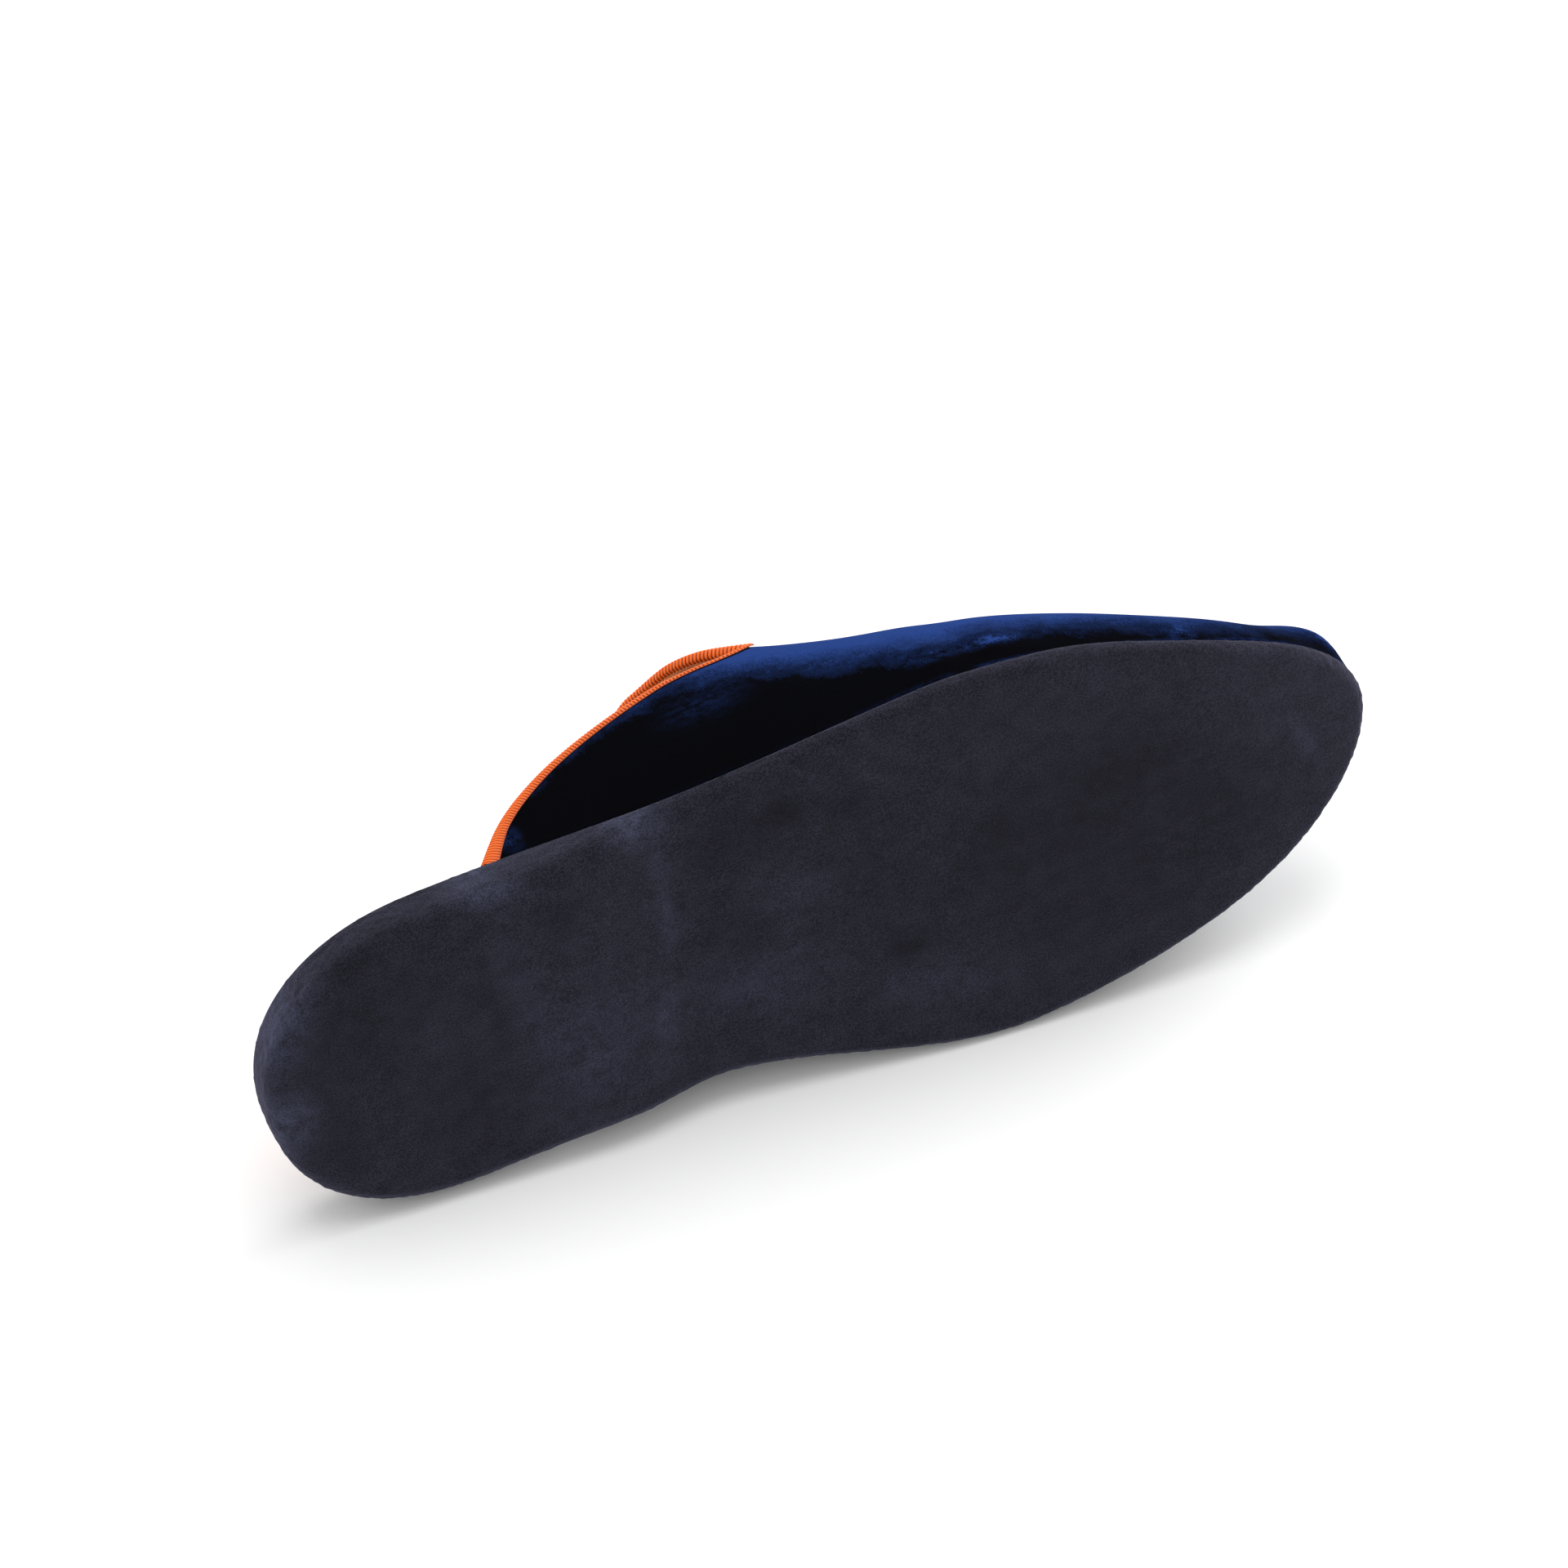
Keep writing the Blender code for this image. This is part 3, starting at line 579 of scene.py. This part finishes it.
# The wall's edge is pared thin before it is bound, mostly from inside, and stops short of the fold
PARED_REACH, PARED_IN, PARED_OUT = 8, 0.62, 0.15
SHORT_REACH, SHORT = 2.5, 0.4
fold_tree = kdtree.KDTree(len(at))
for k, fold in enumerate(frames[:, :3]):
    fold_tree.insert(fold, k)
fold_tree.balance()
for wall in (upper, lining):
    points = shoe_points(wall)
    for k, point in enumerate(points.copy()):
        section, away = fold_tree.find(point)[1:]
        if away < PARED_REACH:
            breadth = (point - frames[section, :3]) @ breadth_axis[section]
            depth = (point - frames[section, :3]) @ depth_axis[section]
            pared = (PARED_IN if breadth < 0 else PARED_OUT) * (1 - (away / PARED_REACH) ** 2) ** 2
            points[k] -= breadth_axis[section] * breadth * pared
            points[k] += depth_axis[section] * SHORT * max(0, 1 - depth / SHORT_REACH)
    put_shoe_points(wall, points)

outer_end = np.interp(from_foot, LEG_MARKS, OUTER_LEG)
inner_end = np.interp(from_foot, LEG_MARKS, INNER_LEG)


def leg(points, end):
    """Profile points of a leg, for every section: depth by share of the leg, breadth as given."""
    return [(RAW_EDGE + (end - RAW_EDGE) * share, np.full(len(end), breadth)) for share, breadth in points]


still = np.ones(len(at))
outer = [(d * still, b * still) for d, b in FOLD_OUT] + leg(LEG_OUT + END_OUT + HUG_OUT, outer_end)
inner = [(d * still, b * still) for d, b in FOLD_IN] + leg(LEG_IN + END_IN + HUG_IN, inner_end)
ring = [(FOLD_TOP * still, 0 * still)] + outer + [(d, -b) for d, b in reversed(inner)]
profile = np.array(ring).transpose(2, 0, 1)
# Ribs run over the fold and the legs, the inner leg's end is a plain selvage
count = len(ring)
outer_ribs = 1 + len(FOLD_OUT + LEG_OUT)
inner_ribs = count - len(LEG_IN + FOLD_IN)
ribbed = np.ones(count)
ribbed[outer_ribs:inner_ribs] = 0
selvage = np.zeros(count)
selvage[inner_ribs - len(END_IN):inner_ribs] = 1
across = np.roll(profile, -1, axis=1) - np.roll(profile, 1, axis=1)
away = np.stack([-across[..., 1], across[..., 0]], axis=2)
away /= np.linalg.norm(away, axis=2, keepdims=True)
RIB_ROUND = 0.8
crest = np.abs(np.cos(np.pi * np.arange(len(at)) / RIB_STEPS)) ** RIB_ROUND
profile = profile + away * ((crest - 1)[:, None] * RIB_DEPTH * ribbed)[..., None]
places = frames[:, None, :3] + profile[..., :1] * depth_axis[:, None]
places = places + profile[..., 1:] * breadth_axis[:, None]
faces = []
for k in range(len(at) - 1):
    for j in range(count):
        a = k * count + j
        b = k * count + (j + 1) % count
        faces.append((a, b, b + count, a + count))
faces.append(tuple(reversed(range(count))))
faces.append(tuple((len(at) - 1) * count + j for j in range(count)))
mesh = bpy.data.meshes.new("collar_grosgrain")
mesh.from_pydata(to_world(places.reshape(-1, 3)).tolist(), [], faces)
binding = bpy.data.objects.new("collar_grosgrain", mesh)
bpy.context.collection.objects.link(binding)
bpy.ops.object.select_all(action="DESELECT")
binding.select_set(True)
bpy.context.view_layer.objects.active = binding
bpy.ops.object.mode_set(mode="EDIT")
bpy.ops.mesh.select_all(action="SELECT")
bpy.ops.mesh.normals_make_consistent(inside=False)
bpy.ops.object.mode_set(mode="OBJECT")
bpy.ops.object.shade_smooth()
# Painted shade: the ribs are darkened towards the velvet, along the outer leg and its end, and the plain
# faces against the wall are painted half dark
OUTER_LEG_SHADE = (1.0, 0.95, 0.85, 0.7, 0.55, 0.5)
leg_shade = np.ones(count)
leg_shade[1 + len(FOLD_OUT):1 + len(FOLD_OUT) + len(OUTER_LEG_SHADE)] = OUTER_LEG_SHADE
put_attribute(binding, "crest", (np.where(ribbed > 0, crest[:, None], 0.5) * leg_shade).ravel())
put_attribute(binding, "selvage", np.tile(selvage, len(at)))

RIBBON = (0.95, 0.155, 0.013, 1)
RIBBON_GROOVE_SHADE = (0.12, 0.008, 0.001, 1)
RIBBON_SELVAGE_HIGHLIGHT = (0.85, 0.36, 0.14, 1)
grosgrain, shader, shoe = new_material("orange_grosgrain", {
    "Roughness": 0.5, "Specular IOR Level": 0.25, "Sheen Weight": 0.05, "Sheen Roughness": 0.4,
    "Sheen Tint": (1.0, 0.5, 0.2, 1)})
# Painted shade: dark in the grooves between the ribs, and darker along the outer leg
colour = shoe.attribute("crest").ramp(0.1, 0.9).mix(RIBBON_GROOVE_SHADE, RIBBON)
# The selvage is a light tan: partly its own colour, partly a painted highlight along the edge
colour = shoe.attribute("selvage").mix(colour, RIBBON_SELVAGE_HIGHLIGHT)
feed(shader, "Base Color", colour)
THREAD_SCALE, THREAD_DEPTH = 7, 0.06 * MM
feed(shader, "Roughness", shoe.noise(3, 2) * 0.2 + 0.4)
feed(shader, "Normal", shoe.noise(THREAD_SCALE, 2).bump(0.35, THREAD_DEPTH))
binding.data.materials.append(grosgrain)
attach(binding, "root")
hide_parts("collar_binding")

# Floor, light and camera.
# A plain white studio floor under large soft lights; the camera stands where the photographer's did.

FLOOR_SIZE, FLOOR_WHITE = 12, (0.94, 0.94, 0.94, 1)
bpy.ops.mesh.primitive_plane_add(size=FLOOR_SIZE, location=(0, 0, 0))
floor = bpy.context.object
floor.name = "floor"
paper, shader, shoe = new_material("white_floor", {"Base Color": FLOOR_WHITE, "Roughness": 0.9})
floor.data.materials.append(paper)

ROOM_LIGHT = 0.83
world = bpy.data.worlds.new("studio")
world.use_nodes = True
background = world.node_tree.nodes["Background"]
background.inputs["Color"].default_value = (1, 1, 1, 1)
background.inputs["Strength"].default_value = ROOM_LIGHT
bpy.context.scene.world = world

# One soft box over the shoe, and one low on the right that lights the floor under the raised toe:
# place, size, power
SOFT_BOXES = [((0, 0.25, 1.6), 1.2, 10.0), ((1.1, 0.4, 0.8), 0.9, 9.6)]
for place, size, energy in SOFT_BOXES:
    bpy.ops.object.light_add(type="AREA", location=place)
    lamp = bpy.context.object
    lamp.data.size = size
    lamp.data.energy = energy
    lamp.rotation_euler = (-lamp.location).to_track_quat("-Z", "Y").to_euler()

CAMERA_PLACE = Vector((-0.3886, -0.9691, 1.1320))
LOOK_DOWN = math.radians(46.00)
HEADING = math.radians(22.06)
ROLL = math.radians(-1.145)
SENSOR_WIDTH, LENS = 36, 151.95
bpy.ops.object.camera_add(location=CAMERA_PLACE)
camera = bpy.context.object
level = Matrix.Rotation(-HEADING, 3, "Z") @ Matrix.Rotation(math.pi / 2 - LOOK_DOWN, 3, "X")
camera.rotation_euler = (level @ Matrix.Rotation(ROLL, 3, "Z")).to_euler()
camera.data.sensor_width = SENSOR_WIDTH
camera.data.lens = LENS
bpy.context.scene.camera = camera
bpy.context.scene.view_settings.view_transform = "Standard"
